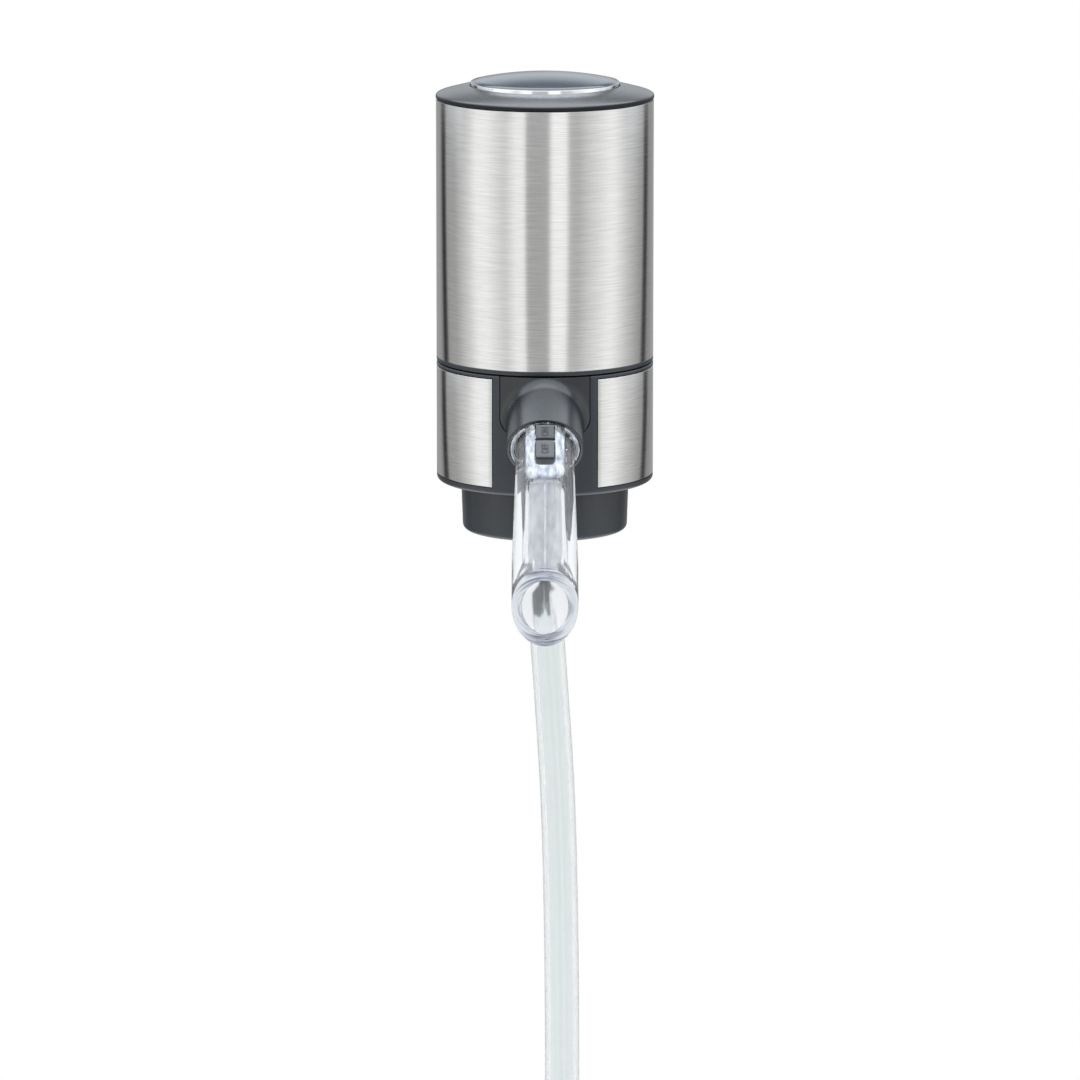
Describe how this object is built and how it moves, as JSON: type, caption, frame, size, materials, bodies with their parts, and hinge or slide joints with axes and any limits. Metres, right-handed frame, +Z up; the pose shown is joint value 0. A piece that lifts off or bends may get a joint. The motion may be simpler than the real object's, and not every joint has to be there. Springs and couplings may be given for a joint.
{
  "type": "electric wine dispenser",
  "caption": "Battery air pump in a steel-clad barrel that plugs into a bottle's mouth and lifts wine up a tube to a clear tilting-switch spout.",
  "frame": {"origin": "centre of the bottle lip's seat, under the lip seal", "axes": "+Z up along the barrel's axis, -Y towards the spout, +X to the right seen from the spout's side"},
  "size_m": [0.0562, 0.0898, 0.3756],
  "materials": {
    "brushed_steel": "brushed",
    "charcoal_plastic": "fine matte texture",
    "button_plastic": "satin",
    "chrome_trim": "polished",
    "clear_plastic": "clear, polished",
    "clear_tube": "clear, soft",
    "black_silicone": "matte",
    "black_plastic": "matte",
    "white_plastic": "matte",
    "screw_steel": "satin",
    "spring_steel": "bright",
    "contact_nickel": "bright",
    "red_lead": "satin",
    "board_green": "satin",
    "part_black": "matte",
    "can_steel": "plated",
    "bush_brass": "plain",
    "magnet_ferrite": "matte",
    "armature_iron": "plain",
    "cell_case": "satin"
  },
  "bodies": {
    "base": {"base_band": "brushed_steel", "base_shell": "charcoal_plastic", "front_insert": "charcoal_plastic", "bottle_collar": "charcoal_plastic", "deck_screws": "screw_steel", "base_screws": "screw_steel", "board_screws": "screw_steel", "pump_case_screws": "screw_steel", "base_deck": "black_plastic", "bottle_plug": "black_silicone", "lip_seal": "black_silicone", "socket_seal": "black_silicone", "diaphragm": "black_silicone", "pump_valves": "black_silicone", "tube_nozzle": "black_plastic", "nozzle_nut": "black_plastic", "flow_manifold": "black_plastic", "wine_tube": "clear_tube", "air_hoses": "clear_tube", "air_check_valve": "white_plastic", "battery_holder": "black_plastic", "contact_springs": "contact_nickel", "upper_contacts": "contact_nickel", "lower_contacts": "contact_nickel", "battery_leads": "red_lead", "motor_leads": "red_lead", "circuit_board": "board_green", "board_parts": "part_black", "tact_switch": "part_black", "pump_head": "white_plastic", "valve_plate": "white_plastic", "wobble_plate": "white_plastic", "pump_body": "white_plastic", "motor_can": "can_steel", "motor_end_cap": "white_plastic", "motor_bushes": "bush_brass", "motor_magnets": "magnet_ferrite", "battery_1": "cell_case", "battery_2": "cell_case", "battery_3": "cell_case", "battery_4": "cell_case", "battery_5": "cell_case", "battery_6": "cell_case"},
    "cover": {"steel_sleeve": "brushed_steel", "cover_liner": "charcoal_plastic", "top_cap": "charcoal_plastic", "cap_screws": "screw_steel", "button_spring": "spring_steel"},
    "button": {"power_button": "button_plastic", "button_trim": "chrome_trim"},
    "switch": {"switch_stem": "part_black"},
    "rotor": {"motor_shaft": "spring_steel", "motor_armature": "armature_iron", "eccentric": "white_plastic"},
    "spout": {"spout": "clear_plastic", "spout_o_ring": "black_silicone", "rocker_pin": "screw_steel"},
    "rocker": {"on_off_rocker": "button_plastic", "vent_pad": "black_silicone"}
  },
  "joints": [
    {"name": "cover_lift", "type": "slide", "parent": "base", "child": "cover", "axis": [0, 0, 1], "range_m": [0, 0.075]},
    {"name": "button_press", "type": "slide", "parent": "cover", "child": "button", "axis": [0, 0, -1], "range_m": [0, 0.0012], "stiffness_N_per_m": 400, "springref_m": -0.002, "deforming": ["button_spring"]},
    {"name": "switch_press", "type": "slide", "parent": "base", "child": "switch", "axis": [0, 0, -1], "range_m": [0, 0.0003]},
    {"name": "motor_spin", "type": "hinge", "parent": "base", "child": "rotor", "pos_m": [0, 0, 0.05], "axis": [0, 0, 1], "continuous": true},
    {"name": "spout_pull", "type": "slide", "parent": "base", "child": "spout", "axis": [0, -0.866, -0.5], "range_m": [0, 0.014]},
    {"name": "rocker_tilt", "type": "hinge", "parent": "spout", "child": "rocker", "pos_m": [0, -0.0415, 0.01077], "axis": [1, 0, 0], "range_deg": [0, 10]}
  ],
  "couplings": [
    {"joint": "switch_press", "follows": "button_press", "ratio": 0.25}
  ]
}
